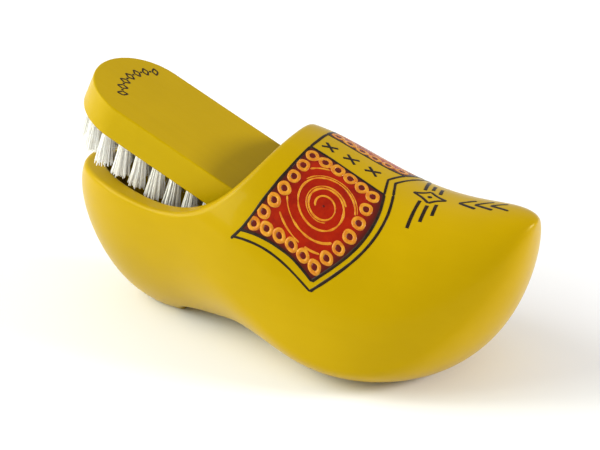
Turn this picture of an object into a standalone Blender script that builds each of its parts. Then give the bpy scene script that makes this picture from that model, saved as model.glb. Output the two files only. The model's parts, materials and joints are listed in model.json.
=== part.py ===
"""Souvenir clog that holds a brush: a hollow wooden shoe and the brush pushed into its opening.

Metres, +Z up, +X towards the toe. The origin is under the middle of the whole object, on the
surface that the heel and the sole stand on.
"""
import math

import bmesh
import bpy
import numpy as np
from mathutils import Matrix, Vector

# ---- clog: overall size ----
CLOG_LENGTH = 0.200
CLOG_WIDTH = 0.091
CLOG_HEIGHT = 0.0865

# ---- clog: outer shape, each point (share of the length, share of the overall size) ----
TOP_LINE = ((0, 0.53), (0.06, 0.82), (0.2, 0.95), (0.36, 1.0), (0.5, 0.996), (0.6, 0.925),
            (0.72, 0.836), (0.84, 0.815), (0.94, 0.835), (1, 0.80))
UNDER_LINE = ((0, 0.53), (0.04, 0.245), (0.12, 0.035), (0.24, -0.04), (0.42, 0.015), (0.58, -0.03),
              (0.72, -0.028), (0.84, 0.02), (0.93, 0.21), (1, 0.80))
WIDTH_LINE = ((0, 0), (0.05, 0.4), (0.15, 0.615), (0.3, 0.748), (0.45, 0.91), (0.6, 1.0),
              (0.74, 0.968), (0.86, 0.754), (0.95, 0.46), (1, 0))
WIDEST_LINE = ((0, 0.6), (0.15, 0.63), (0.4, 0.43), (0.6, 0.23), (0.8, 0.24), (1, 0.52))
RIM_LINE = ((0, 0.675), (0.08, 0.672), (0.16, 0.654), (0.24, 0.637), (0.32, 0.663), (0.4, 0.764),
            (0.46, 0.911), (0.52, 1.115))
UPPER_POWER = 2.15       # roundness of a section above its widest line, 2 is an ellipse
LOWER_POWER = 1.95       # and below it

# ---- clog: hollow ----
SIDE_WALL = 0.0072
VAMP_WALL = 0.009
SOLE_THICKNESS = 0.0147
HEEL_WALL = 0.010
TOE_WALL = 0.030
HOLLOW_END_POWER = 5     # bluntness of the hollow's two ends
OPENING_RISE = 0.3       # lifts the hollow's ceiling where it is open, for an even wall at the rim

# ---- clog: underside ----
HEEL_BLOCK_END = 0.051   # from the back of the heel to the start of the arch
ARCH_END = 0.108         # to where the sole comes down again
ARCH_HEIGHT = 0.007
ARCH_SKEW = 0.5          # under 1 puts the arch's highest place near the heel

# ---- brush ----
BRUSH_LENGTH = 0.142
BLOCK_THICKNESS = 0.0134
BRUSH_PITCH = math.radians(24)
BRUSH_SIDE_GAP = 0.0043  # between the block and the hollow where the opening is narrowest
WAIST = 0.3              # share of the clog's length where the block's width is taken
TUFT_LENGTH = 0.0149
TUFT_ROOT_RADIUS = 0.00125
TUFT_TIP_RADIUS = 0.0020
TUFT_LEAN = math.radians(12)
TUFT_HOLE_DEPTH = 0.009
TUFT_INSET = 0.0049      # from the block's edge to the outer tufts
RING_TUFTS = 36          # all round the edge, the first one at the rear end
ROW_TUFTS = 11           # in each of the two rows inside the ring
ROW_OFFSET = 0.006       # of those rows from the middle
ROW_END = 0.016          # from the block's end to the first tuft of a row

# ---- clearances ----
GAP = 0.0003             # between pieces that touch

# ---- facets ----
STATIONS = 44
AROUND = 40
HOLLOW_STATIONS = 34
HOLLOW_AROUND = 32
TUFT_SIDES = 8
END_FACETS = 16
MARGIN = 0.03            # how far a cutter runs past what it cuts


def spline(points):
    """Natural cubic spline through the points, as a function of x."""
    x, y = np.array(points, float).T
    h = np.diff(x)
    slope = np.diff(y) / h
    matrix = np.eye(len(x))
    right = np.zeros(len(x))
    for i in range(1, len(x) - 1):
        matrix[i, i - 1:i + 2] = h[i - 1], 2 * (h[i - 1] + h[i]), h[i]
        right[i] = 6 * (slope[i] - slope[i - 1])
    bend = np.linalg.solve(matrix, right)

    def value(at):
        i = int(np.clip(np.searchsorted(x, at) - 1, 0, len(h) - 1))
        a = (x[i + 1] - at) / h[i]
        b = (at - x[i]) / h[i]
        bow = ((a ** 3 - a) * bend[i] + (b ** 3 - b) * bend[i + 1]) * h[i] ** 2 / 6
        return float(a * y[i] + b * y[i + 1] + bow)

    return value


def angle_of(share):
    """Half-turn angle whose cosine falls evenly with the length: it makes both ends round."""
    return math.acos(1 - 2 * min(max(share, 0), 1))


def line_by_angle(points):
    """Spline over the half-turn angle, as a function of the share of the length."""
    curve = spline([(angle_of(share), value) for share, value in points])
    return lambda share: curve(angle_of(share))


top_share = line_by_angle(TOP_LINE)
under_share = line_by_angle(UNDER_LINE)
width_share = line_by_angle(WIDTH_LINE)
widest_share = spline(WIDEST_LINE)
rim_share = spline(RIM_LINE)


def rim_height(x):
    """Height of the opening's edge at x from the back of the heel."""
    return CLOG_HEIGHT * rim_share(min(max(x / CLOG_LENGTH, 0), RIM_LINE[-1][0]))


def outer_section(x):
    """Half-width, lowest, widest and highest level of the outside at x."""
    share = x / CLOG_LENGTH
    low = CLOG_HEIGHT * under_share(share)
    high = CLOG_HEIGHT * top_share(share)
    half = CLOG_WIDTH / 2 * max(width_share(share), 0)
    return half, low, low + (high - low) * widest_share(share), high


def hollow_section(x):
    """Half-width, lowest, widest and highest level of the hollow at x."""
    half, low, widest, high = outer_section(x)
    share = (x - HEEL_WALL) / (CLOG_LENGTH - TOE_WALL - HEEL_WALL)
    end = abs(1 - 2 * min(max(share, 0), 1)) ** HOLLOW_END_POWER
    ease = (1 - end) ** (1 / HOLLOW_END_POWER)
    floor = max(low, 0) + SOLE_THICKNESS
    ceiling = high - VAMP_WALL + OPENING_RISE * max(high - rim_height(x), 0)
    middle = max(widest, floor + (ceiling - floor) / 3)
    return (
        (half - SIDE_WALL) * ease,
        middle - (middle - floor) * ease,
        middle,
        middle + (ceiling - middle) * ease,
    )


def half_width_at(section, z):
    """Half-width of a section at height z, 0 outside it."""
    half, low, widest, high = section
    if not low < z < high:
        return 0
    reach, power = (high - widest, UPPER_POWER) if z > widest else (widest - low, LOWER_POWER)
    ratio = abs(z - widest) / reach
    return half * (1 - ratio ** power) ** (1 / power)


def floor_at(x, y):
    """Height of the hollow's floor, or of its widest line where there is no hollow."""
    half, low, widest, high = hollow_section(x)
    if abs(y) >= half:
        return widest
    return widest - (widest - low) * (1 - (abs(y) / half) ** LOWER_POWER) ** (1 / LOWER_POWER)


def ring_points(x, section, count):
    """Points round one section."""
    half, low, widest, high = section
    points = []
    for i in range(count):
        angle = 2 * math.pi * i / count
        c, s = math.cos(angle), math.sin(angle)
        power = UPPER_POWER if s >= 0 else LOWER_POWER
        reach = high - widest if s >= 0 else widest - low
        y = half * math.copysign(abs(c) ** (2 / power), c)
        z = widest + reach * math.copysign(abs(s) ** (2 / power), s)
        points.append((x, y, z))
    return points


def loft(name, start, end, section, stations, count):
    """Closed body through the sections between start and end, pointed to one vertex at each."""
    bm = bmesh.new()
    rings = []
    for i in range(1, stations):
        x = start + (end - start) * (1 - math.cos(math.pi * i / stations)) / 2
        rings.append([bm.verts.new(p) for p in ring_points(x, section(x), count)])
    first = bm.verts.new((start, 0, section(start)[2]))
    last = bm.verts.new((end, 0, section(end)[2]))
    for i in range(count):
        j = (i + 1) % count
        bm.faces.new((first, rings[0][j], rings[0][i]))
        bm.faces.new((last, rings[-1][i], rings[-1][j]))
        for a, b in zip(rings, rings[1:]):
            bm.faces.new((a[i], a[j], b[j], b[i]))
    bmesh.ops.recalc_face_normals(bm, faces=bm.faces)
    return object_from(bm, name)


def object_from(bm, name):
    """New object in the main collection from a bmesh."""
    mesh = bpy.data.meshes.new(name)
    bm.to_mesh(mesh)
    bm.free()
    made = bpy.data.objects.new(name, mesh)
    parts.objects.link(made)
    return made


def slab(name, outline, thickness):
    """Flat outline extruded to both sides of its plane, as a mesh object."""
    curve = bpy.data.curves.new(name, "CURVE")
    curve.dimensions = "2D"
    curve.fill_mode = "BOTH"
    curve.extrude = thickness / 2
    path = curve.splines.new("POLY")
    path.points.add(len(outline) - 1)
    path.use_cyclic_u = True
    for point, (x, y) in zip(path.points, outline):
        point.co = (x, y, 0, 1)
    drawn = bpy.data.objects.new(name + "_outline", curve)
    parts.objects.link(drawn)
    bpy.context.view_layer.update()
    mesh = bpy.data.meshes.new_from_object(drawn.evaluated_get(bpy.context.evaluated_depsgraph_get()))
    bpy.data.objects.remove(drawn)
    bm = bmesh.new()
    bm.from_mesh(mesh)
    bpy.data.meshes.remove(mesh)
    bmesh.ops.remove_doubles(bm, verts=bm.verts, dist=0.00001)
    bmesh.ops.dissolve_limit(bm, angle_limit=0.001, verts=bm.verts, edges=bm.edges)
    bmesh.ops.recalc_face_normals(bm, faces=bm.faces)
    return object_from(bm, name)


def paint(made, colour, roughness):
    """Own Principled material."""
    material = bpy.data.materials.new(made.name)
    material.use_nodes = True
    shader = material.node_tree.nodes["Principled BSDF"]
    shader.inputs["Base Color"].default_value = (*colour, 1)
    shader.inputs["Roughness"].default_value = roughness
    shader.inputs["Metallic"].default_value = 0
    made.data.materials.clear()
    made.data.materials.append(material)


def cut(body, cutter):
    """Take the cutter out of the body, and put it with the cutters."""
    parts.objects.unlink(cutter)
    cutters.objects.link(cutter)
    cutter.hide_render = True
    cutter.display_type = "WIRE"
    modifier = body.modifiers.new(cutter.name, "BOOLEAN")
    modifier.operation = "DIFFERENCE"
    modifier.solver = "EXACT"
    modifier.object = cutter


def make_clog(place):
    """Hollow shoe, standing on its heel and sole."""
    clog = loft("clog_body", 0, CLOG_LENGTH, outer_section, STATIONS, AROUND)
    clog.location = place
    upright = Matrix.Rotation(math.pi / 2, 4, "X")

    far = RIM_LINE[-1][0] * CLOG_LENGTH
    steps = 40
    edge = [(far * i / steps, rim_height(far * i / steps)) for i in range(steps + 1)]
    above = 2 * CLOG_HEIGHT
    opening = [(-MARGIN, rim_height(0)), *edge, (far, above), (-MARGIN, above)]
    opening_cutter = slab("opening_cutter", opening, CLOG_WIDTH + 2 * MARGIN)

    arch = []
    for i in range(1, steps // 2):
        share = 2 * i / steps
        x = HEEL_BLOCK_END + (ARCH_END - HEEL_BLOCK_END) * share
        arch.append((x, ARCH_HEIGHT * math.sin(math.pi * share ** ARCH_SKEW)))
    ground = [(-MARGIN, 0), (HEEL_BLOCK_END, 0), *arch, (ARCH_END, 0), (CLOG_LENGTH, 0),
              (CLOG_LENGTH, -MARGIN), (-MARGIN, -MARGIN)]
    ground_cutter = slab("ground_cutter", ground, CLOG_WIDTH + 2 * MARGIN)

    hollow_cutter = loft("hollow_cutter", HEEL_WALL, CLOG_LENGTH - TOE_WALL, hollow_section,
                         HOLLOW_STATIONS, HOLLOW_AROUND)
    for cutter in (opening_cutter, ground_cutter):
        cutter.data.transform(upright)
    for cutter in (opening_cutter, ground_cutter, hollow_cutter):
        cutter.location = place
        cut(clog, cutter)
    paint(clog, (0.86, 0.66, 0.03), 0.25)
    clog.data.shade_smooth()
    clog.data.set_sharp_from_angle(angle=math.radians(35))
    return clog


def block_outline(half):
    """Half-round ends and straight sides, from the rear end at x = 0."""
    points = []
    for centre, start in ((BRUSH_LENGTH - half, -math.pi / 2), (half, math.pi / 2)):
        for i in range(END_FACETS + 1):
            angle = start + math.pi * i / END_FACETS
            points.append((centre + half * math.cos(angle), half * math.sin(angle)))
    return points


def tuft_places(half):
    """Names and (x, y) of all tufts on the block's face: the ring, then the two rows."""
    radius = half - TUFT_INSET
    straight = BRUSH_LENGTH - 2 * half
    around = 2 * straight + 2 * math.pi * radius
    places = []
    for i in range(RING_TUFTS):
        run = around * i / RING_TUFTS
        side = 1
        if run > around / 2:
            run = around - run
            side = -1
        quarter = math.pi * radius / 2
        if run < quarter:
            angle = run / radius
            x, y = half - radius * math.cos(angle), radius * math.sin(angle)
        elif run < quarter + straight:
            x, y = half + run - quarter, radius
        else:
            angle = (run - quarter - straight) / radius
            x, y = half + straight + radius * math.sin(angle), radius * math.cos(angle)
        places.append((f"tuft_ring_{i + 1:02d}", x, side * y))
    for row, y in (("left", ROW_OFFSET), ("right", -ROW_OFFSET)):
        for i in range(ROW_TUFTS):
            x = ROW_END + (BRUSH_LENGTH - 2 * ROW_END) * i / (ROW_TUFTS - 1)
            places.append((f"tuft_{row}_{i + 1:02d}", x, y))
    return places


def along_tuft(x, y, down):
    """Point on a tuft's axis, down below the block's lower face, in the brush's own frame."""
    return Vector((x + math.tan(TUFT_LEAN) * down, y, -BLOCK_THICKNESS - down))


def turned(name, profile, sides):
    """Profile of (radius, height), listed from the top down, turned round Z."""
    bm = bmesh.new()
    corners = [bm.verts.new((radius, 0, height)) for radius, height in profile]
    for a, b in zip(corners, corners[1:]):
        bm.edges.new((a, b))
    made = object_from(bm, name)
    screw = made.modifiers.new("turn", "SCREW")
    screw.steps = sides
    screw.render_steps = sides
    screw.use_merge_vertices = True
    screw.merge_threshold = 0.00005
    return made


def make_brush(pose, half):
    """Block with its drilled holes, and the tufts in them, all under one empty."""
    handle = bpy.data.objects.new("brush_pose", None)
    handle.matrix_world = pose
    parts.objects.link(handle)

    block = slab("brush_block", block_outline(half), BLOCK_THICKNESS)
    block.data.transform(Matrix.Translation((0, 0, -BLOCK_THICKNESS / 2)))
    holes = bmesh.new()
    lean = Matrix.Rotation(-TUFT_LEAN, 4, "Y")
    depth = TUFT_HOLE_DEPTH / math.cos(TUFT_LEAN)
    for name, x, y in tuft_places(half):
        bmesh.ops.create_cone(
            holes, cap_ends=True, segments=TUFT_SIDES, radius1=TUFT_ROOT_RADIUS + GAP,
            radius2=TUFT_ROOT_RADIUS + GAP, depth=2 * depth,
            matrix=Matrix.Translation(along_tuft(x, y, 0)) @ lean)
    hole_cutter = object_from(holes, "tuft_hole_cutter")
    cut(block, hole_cutter)
    paint(block, (0.80, 0.62, 0.03), 0.4)
    block.data.shade_smooth()
    block.data.set_sharp_from_angle(angle=math.radians(35))

    root = depth - GAP
    tip = TUFT_LENGTH / math.cos(TUFT_LEAN)
    profile = [(0, root), (TUFT_ROOT_RADIUS, root), (TUFT_ROOT_RADIUS, 0), (TUFT_TIP_RADIUS, -tip),
               (0, -tip)]
    pieces = [block, hole_cutter]
    for name, x, y in tuft_places(half):
        tuft = turned(name, profile, TUFT_SIDES)
        paint(tuft, (0.85, 0.84, 0.80), 0.5)
        tuft.location = along_tuft(x, y, 0)
        tuft.rotation_euler = (0, -TUFT_LEAN, 0)
        pieces.append(tuft)
    for piece in pieces:
        piece.parent = handle


def brush_half_width():
    """The block is as wide as the hollow's narrowest way in lets it be."""
    x = WAIST * CLOG_LENGTH
    return hollow_section(x)[0] - BRUSH_SIDE_GAP


def furthest(clear, start, end):
    """The value furthest from start towards end that is still clear."""
    for step in range(40):
        middle = (start + end) / 2
        if clear(middle):
            start = middle
        else:
            end = middle
    return start


def find_pose(half):
    """Brush frame: the tufts' ends rest on the heel's rim and on the hollow's floor.

    Its origin is the middle of the block's rear end on the top face, its X runs down towards the
    toe along the block, and its Z is the block's upward normal.
    """
    turn = Matrix.Rotation(BRUSH_PITCH, 3, "Y")
    forward = turn @ Vector((1, 0, 0))
    up = turn @ Vector((0, 0, 1))
    fall = math.tan(BRUSH_PITCH)
    edge = TUFT_TIP_RADIUS + GAP
    drop = TUFT_TIP_RADIUS * abs(math.sin(BRUSH_PITCH - TUFT_LEAN)) + GAP
    reach = half - TUFT_INSET + edge
    tip_depth = BLOCK_THICKNESS + TUFT_LENGTH + TUFT_TIP_RADIUS * math.sin(TUFT_LEAN)
    open_part = [x for x in np.linspace(0, CLOG_LENGTH, 400) if rim_height(x) < CLOG_HEIGHT]
    tips = [along_tuft(x, y, TUFT_LENGTH) for name, x, y in tuft_places(half)]

    def over_the_rim(level):
        """The plane of the tufts' ends, this high at x = 0, misses the rim all the way in."""
        for x in open_part:
            height = level - fall * x
            inside = half_width_at(hollow_section(x), height) >= reach
            if height < rim_height(x) + GAP / math.cos(BRUSH_PITCH) and not inside:
                return False
        return True

    def off_the_floor(slide):
        """The tufts' ends miss the hollow's floor and sides when the brush is this far in."""
        for tip in tips:
            spot = origin + forward * slide + turn @ tip
            if spot.x < CLOG_LENGTH / 2:
                continue
            room = hollow_section(spot.x + edge)[0] - abs(spot.y) - edge
            floor = max(floor_at(spot.x + side, abs(spot.y) + edge) for side in (-edge, edge))
            if room < 0 or spot.z - drop < floor:
                return False
        return True

    level = furthest(over_the_rim, 2 * CLOG_HEIGHT, 0)
    origin = Vector((0, 0, level)) + up * tip_depth
    origin += forward * furthest(off_the_floor, -CLOG_LENGTH, CLOG_LENGTH)
    return Matrix.Translation(origin) @ turn.to_4x4()


for item in list(bpy.data.objects):
    bpy.data.objects.remove(item)
parts = bpy.data.collections.new("brush_clog")
cutters = bpy.data.collections.new("cutters")
for collection in (parts, cutters):
    bpy.context.scene.collection.children.link(collection)

half_width = brush_half_width()
brush_frame = find_pose(half_width)
rear = min(0, min((brush_frame @ Vector((0, 0, z))).x for z in (0, -BLOCK_THICKNESS)))
centre = Vector(((rear + CLOG_LENGTH) / 2, 0, 0))
make_clog(-centre)
make_brush(Matrix.Translation(-centre) @ brush_frame, half_width)
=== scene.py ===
"""The finished look of the clog that holds a brush.

Carved and lacquered wood, painted decoration and nylon tufts, in metres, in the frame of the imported
model: +Z up, +X towards the toe. Shapes along the clog are worked out from x measured from the back of
the heel, and moved into the frame at the end.
"""
import json
import math

import bmesh
import bpy
import numpy as np
from mathutils import Matrix, Vector


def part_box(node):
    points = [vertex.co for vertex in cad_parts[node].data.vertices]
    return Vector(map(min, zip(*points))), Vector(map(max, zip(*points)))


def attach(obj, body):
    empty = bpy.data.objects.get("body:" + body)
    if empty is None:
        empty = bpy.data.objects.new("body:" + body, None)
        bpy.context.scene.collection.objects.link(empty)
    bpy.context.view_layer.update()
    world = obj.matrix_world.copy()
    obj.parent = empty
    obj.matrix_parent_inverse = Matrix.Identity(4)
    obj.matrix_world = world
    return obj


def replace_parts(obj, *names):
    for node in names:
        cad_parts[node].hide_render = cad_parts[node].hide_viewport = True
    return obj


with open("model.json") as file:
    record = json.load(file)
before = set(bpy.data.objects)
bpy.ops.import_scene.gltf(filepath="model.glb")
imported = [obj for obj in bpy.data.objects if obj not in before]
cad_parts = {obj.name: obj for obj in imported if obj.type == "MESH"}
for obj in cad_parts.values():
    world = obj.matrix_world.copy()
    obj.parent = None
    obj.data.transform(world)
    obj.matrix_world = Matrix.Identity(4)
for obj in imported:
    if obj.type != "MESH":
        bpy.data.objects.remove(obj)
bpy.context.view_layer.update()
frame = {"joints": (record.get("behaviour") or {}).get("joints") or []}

MM = 0.001

# ---- clog: the carved shape, each point (share of the length, share of the overall size) ----
TOP_LINE = ((0, 0.53), (0.06, 0.82), (0.2, 0.95), (0.36, 1.0), (0.5, 0.996), (0.6, 0.925),
            (0.72, 0.836), (0.84, 0.815), (0.94, 0.835), (1, 0.80))
UNDER_LINE = ((0, 0.53), (0.04, 0.245), (0.12, 0.035), (0.24, -0.04), (0.42, 0.015), (0.58, -0.03),
              (0.72, -0.028), (0.84, 0.02), (0.93, 0.21), (1, 0.80))
WIDTH_LINE = ((0, 0), (0.05, 0.4), (0.15, 0.615), (0.3, 0.748), (0.45, 0.91), (0.6, 1.0),
              (0.74, 0.968), (0.86, 0.754), (0.95, 0.46), (1, 0))
WIDEST_LINE = ((0, 0.6), (0.15, 0.63), (0.4, 0.43), (0.6, 0.23), (0.8, 0.24), (1, 0.52))
RIM_LINE = ((0, 0.675), (0.08, 0.672), (0.16, 0.654), (0.24, 0.637), (0.32, 0.663), (0.4, 0.764),
            (0.46, 0.911), (0.52, 1.115))
UPPER_POWER = 2.15
LOWER_POWER = 1.95

SIDE_WALL = 7.2 * MM
VAMP_WALL = 9 * MM
SOLE_THICKNESS = 14.7 * MM
HEEL_WALL = 10 * MM
TOE_WALL = 30 * MM
HOLLOW_END_POWER = 5
OPENING_RISE = 0.3

HEEL_BLOCK_END = 51 * MM
ARCH_END = 108 * MM
ARCH_HEIGHT = 7 * MM
ARCH_SKEW = 0.5

# ---- clog: how softly its edges are rounded over ----
OUTER_EDGE = 2.0 * MM
INNER_EDGE = 1.0 * MM
GROUND_EDGE = 1.2 * MM
NET_CELL = 0.8 * MM
NET_ROUNDS = 5
EVENING = 0.7            # share of the way to its neighbours' middle that a point moves in each round
PAINT_DEPTH = 34 * MM    # below the rim, inside the hollow, where the lacquer has run out
INNER_FACE = 0.8 * MM    # how near the hollow's surface a point counts as inside

# ---- brush ----
BLOCK_BEVEL = 0.7 * MM
TUFT_LENGTH = 14.9 * MM
TUFT_ROOT_RADIUS = 2.1 * MM
TUFT_TIP_RADIUS = 3.9 * MM
TUFT_LEAN = math.radians(12)
TUFT_HOLE_DEPTH = 9 * MM
TUFT_HOLE_RADIUS = 2.25 * MM
TUFT_INSET = 4.9 * MM
RING_TUFTS = 36
ROW_TUFTS = 11
ROW_OFFSET = 6 * MM
ROW_END = 16 * MM
MOTIF_CENTRE = (32 * MM, 2.5 * MM)   # on the block's top, from its rear end
MOTIF_RADIUS = 19.6 * MM
MOTIF_HALF_ANGLE = math.radians(40)
MOTIF_COUNT = 13
MOTIF_LOZENGE = (2.3 * MM, 1.3 * MM)
MOTIF_LINE = 0.75 * MM
MOTIF_DOT = 0.55 * MM
TUFT_FLARE = (0.85, 1.12)      # shortest and longest of the filaments' spread, as shares
WILD_SHARE = 0.05              # share of the filaments that stand out further
WILD_FLARE = 1.3
STRAY = 0.35 * MM
BEND = 0.25 * MM
CUT_LENGTH = (0.965, 1.0)      # filaments aren't cut quite level
FILAMENT_ROOT = 2.5 * MM       # how far into the hole each filament is shown
FILAMENT_ROWS = 5
FILAMENT_SIDES = 5
FILAMENTS = 90
FILAMENT_RADIUS = 0.19 * MM

# ---- camera ----
CAMERA_AZIMUTH = math.radians(27.45)
CAMERA_ELEVATION = math.radians(26.12)
CAMERA_DISTANCE = 0.86675
CAMERA_LENS = 130.1
CAMERA_TARGET = Vector((-0.00068, 0, 0.04514))


# ---------------------------------------------------------------- curves and sections of the clog

def spline(points):
    """Natural cubic spline through the points, as a function of x."""
    x, y = np.array(points, float).T
    h = np.diff(x)
    slope = np.diff(y) / h
    matrix = np.eye(len(x))
    right = np.zeros(len(x))
    for i in range(1, len(x) - 1):
        matrix[i, i - 1:i + 2] = h[i - 1], 2 * (h[i - 1] + h[i]), h[i]
        right[i] = 6 * (slope[i] - slope[i - 1])
    bend = np.linalg.solve(matrix, right)

    def value(at):
        at = np.asarray(at, float)
        i = np.clip(np.searchsorted(x, at) - 1, 0, len(h) - 1)
        a = (x[i + 1] - at) / h[i]
        b = (at - x[i]) / h[i]
        bow = ((a ** 3 - a) * bend[i] + (b ** 3 - b) * bend[i + 1]) * h[i] ** 2 / 6
        return a * y[i] + b * y[i + 1] + bow

    return value


def angle_of(share):
    """Half-turn angle whose cosine falls evenly with the length: it makes both ends round."""
    return np.arccos(1 - 2 * np.clip(share, 0, 1))


def line_by_angle(points):
    """Spline over the half-turn angle, as a function of the share of the length."""
    curve = spline([(float(angle_of(share)), value) for share, value in points])
    return lambda share: curve(angle_of(share))


top_share = line_by_angle(TOP_LINE)
under_share = line_by_angle(UNDER_LINE)
width_share = line_by_angle(WIDTH_LINE)
widest_share = spline(WIDEST_LINE)
rim_share = spline(RIM_LINE)

clog_low, clog_high = (Vector(corner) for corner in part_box("clog_body"))
HEEL = clog_low.x
CLOG_LENGTH = clog_high.x - clog_low.x
every_share = np.linspace(0, 1, 2001)
CLOG_WIDTH = (clog_high.y - clog_low.y) / float(width_share(every_share).max())
CLOG_HEIGHT = clog_high.z / float(top_share(every_share).max())


def rim_height(x):
    """Height of the opening's edge at x from the back of the heel."""
    return CLOG_HEIGHT * rim_share(np.clip(x / CLOG_LENGTH, 0, RIM_LINE[-1][0]))


def ground_height(x):
    """Height of the underside's flat and arch at x."""
    share = np.clip((x - HEEL_BLOCK_END) / (ARCH_END - HEEL_BLOCK_END), 0, 1)
    return ARCH_HEIGHT * np.sin(math.pi * share ** ARCH_SKEW)


def outer_section(x):
    """Half-width, lowest, widest and highest level of the outside at x."""
    share = x / CLOG_LENGTH
    low = CLOG_HEIGHT * under_share(share)
    high = CLOG_HEIGHT * top_share(share)
    half = CLOG_WIDTH / 2 * np.maximum(width_share(share), 0)
    return half, low, low + (high - low) * widest_share(share), high


def hollow_section(x):
    """Half-width, lowest, widest and highest level of the hollow at x."""
    half, low, widest, high = outer_section(x)
    share = (x - HEEL_WALL) / (CLOG_LENGTH - TOE_WALL - HEEL_WALL)
    end = np.abs(1 - 2 * np.clip(share, 0, 1)) ** HOLLOW_END_POWER
    ease = (1 - end) ** (1 / HOLLOW_END_POWER)
    floor = np.maximum(low, 0) + SOLE_THICKNESS
    ceiling = high - VAMP_WALL + OPENING_RISE * np.maximum(high - rim_height(x), 0)
    middle = np.maximum(widest, floor + (ceiling - floor) / 3)
    return ((half - SIDE_WALL) * ease, middle - (middle - floor) * ease, middle,
            middle + (ceiling - middle) * ease)


# ---------------------------------------------------------------- the clog as one level surface

SMALLEST = 0.1 * MM
STEP = 0.01 * MM


def level(section, start, end):
    """Function of (x, y, z) that is below 0 inside the body lofted through the sections."""
    def value(x, y, z):
        half, low, widest, high = section(x)
        upper = z > widest
        power = np.where(upper, UPPER_POWER, LOWER_POWER)
        reach = np.maximum(np.where(upper, high - widest, widest - low), SMALLEST)
        half = np.maximum(half, SMALLEST)
        ratio = ((np.abs(y) / half) ** power + (np.abs(z - widest) / reach) ** power) ** (2 / power)
        beyond = np.maximum(start - x, 0) + np.maximum(x - end, 0)
        return half * half * (ratio - 1) + beyond * CLOG_HEIGHT / 4
    return value


outer_level = level(outer_section, 0, CLOG_LENGTH)
hollow_level = level(hollow_section, HEEL_WALL, CLOG_LENGTH - TOE_WALL)


def rim_level(x, y, z):
    """Below 0 under the opening's edge."""
    return z - rim_height(x) + 0 * y


def ground_level(x, y, z):
    """Below 0 above the underside's flats and arch."""
    return ground_height(x) - z + 0 * y


def distance(function, points):
    """Signed distance, near the surface, and its direction, at each point."""
    x, y, z = points.T
    value = function(x, y, z)
    slope = np.empty_like(points)
    for axis in range(3):
        shift = np.zeros(3)
        shift[axis] = STEP
        ahead = function(*(points + shift).T)
        behind = function(*(points - shift).T)
        slope[:, axis] = (ahead - behind) / (2 * STEP)
    length = np.maximum(np.linalg.norm(slope, axis=1), 1e-9)
    return value / length, slope / length[:, None]


def both(a, b, width):
    """Where two bodies overlap, with their common edge rounded over about this width."""
    share = np.clip(0.5 + (a[0] - b[0]) / (2 * width), 0, 1)
    value = b[0] + (a[0] - b[0]) * share + width * share * (1 - share)
    return value, b[1] + (a[1] - b[1]) * share[:, None]


def clog_distance(points):
    """Signed distance from the whole shoe's surface, and its direction."""
    outside = distance(outer_level, points)
    hollow = distance(hollow_level, points)
    inside = (-hollow[0], -hollow[1])
    rim = distance(rim_level, points)
    ground = distance(ground_level, points)
    outer_rim = both(outside, rim, OUTER_EDGE)
    inner_rim = both(inside, rim, INNER_EDGE)
    inner = (inner_rim[0] > outer_rim[0])[:, None]
    shell = (np.maximum(outer_rim[0], inner_rim[0]), np.where(inner, inner_rim[1], outer_rim[1]))
    return both(shell, ground, GROUND_EDGE)


def surface_net(inside, origin, cell):
    """Points and quads round the surface that parts the grid corners inside from those outside."""
    corners = np.zeros(np.array(inside.shape) - 1, int)
    for i in (0, 1):
        for j in (0, 1):
            for k in (0, 1):
                nx, ny, nz = corners.shape
                corners += inside[i:i + nx, j:j + ny, k:k + nz]
    mixed = (corners > 0) & (corners < 8)
    index = np.full(mixed.shape, -1)
    index[mixed] = np.arange(mixed.sum())
    points = origin + (np.argwhere(mixed) + 0.5) * cell
    quads = []
    for axis in range(3):
        before = inside.take(range(inside.shape[axis] - 1), axis)
        after = inside.take(range(1, inside.shape[axis]), axis)
        u, v = (axis + 1) % 3, (axis + 2) % 3
        for leaving in (True, False):
            edge = np.argwhere((before != after) & (before == leaving))
            loop = []
            for du, dv in ((1, 1), (0, 1), (0, 0), (1, 0)):
                cell_at = edge.copy()
                cell_at[:, u] -= du
                cell_at[:, v] -= dv
                loop.append(index[tuple(cell_at.T)])
            quads.append(np.stack(loop if leaving else loop[::-1], 1))
    return points, np.concatenate(quads)


def relaxed(points, quads, rounds):
    """Points evened out along the surface and brought exactly onto it."""
    a = np.concatenate([quads[:, i] for i in range(4)])
    b = np.concatenate([quads[:, (i + 1) % 4] for i in range(4)])
    first, second = np.concatenate([a, b]), np.concatenate([b, a])
    count = np.bincount(first, minlength=len(points))[:, None]
    for turn in range(rounds):
        total = np.stack([np.bincount(first, points[second, axis], len(points)) for axis in range(3)], 1)
        points = points + (total / count - points) * EVENING
        for settle in range(2):
            value, slope = clog_distance(points)
            step = np.clip(value, -NET_CELL, NET_CELL)
            points = points - slope * step[:, None]
    for settle in range(4):
        value, slope = clog_distance(points)
        points = points - slope * np.clip(value, -NET_CELL, NET_CELL)[:, None]
    return points, slope


def mesh_object(name, points, faces, smooth=True):
    """New object in the scene from points in the frame and faces."""
    mesh = bpy.data.meshes.new(name)
    mesh.from_pydata([tuple(p) for p in points], [], [tuple(f) for f in faces])
    mesh.update()
    if smooth:
        mesh.shade_smooth()
    made = bpy.data.objects.new(name, mesh)
    bpy.context.scene.collection.objects.link(made)
    return made


def number_on_points(made, name, values):
    """Store one number on each of the mesh's points, for its material to read."""
    stored = made.data.attributes.new(name, "FLOAT", "POINT")
    stored.data.foreach_set("value", np.asarray(values, np.float32))


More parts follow.
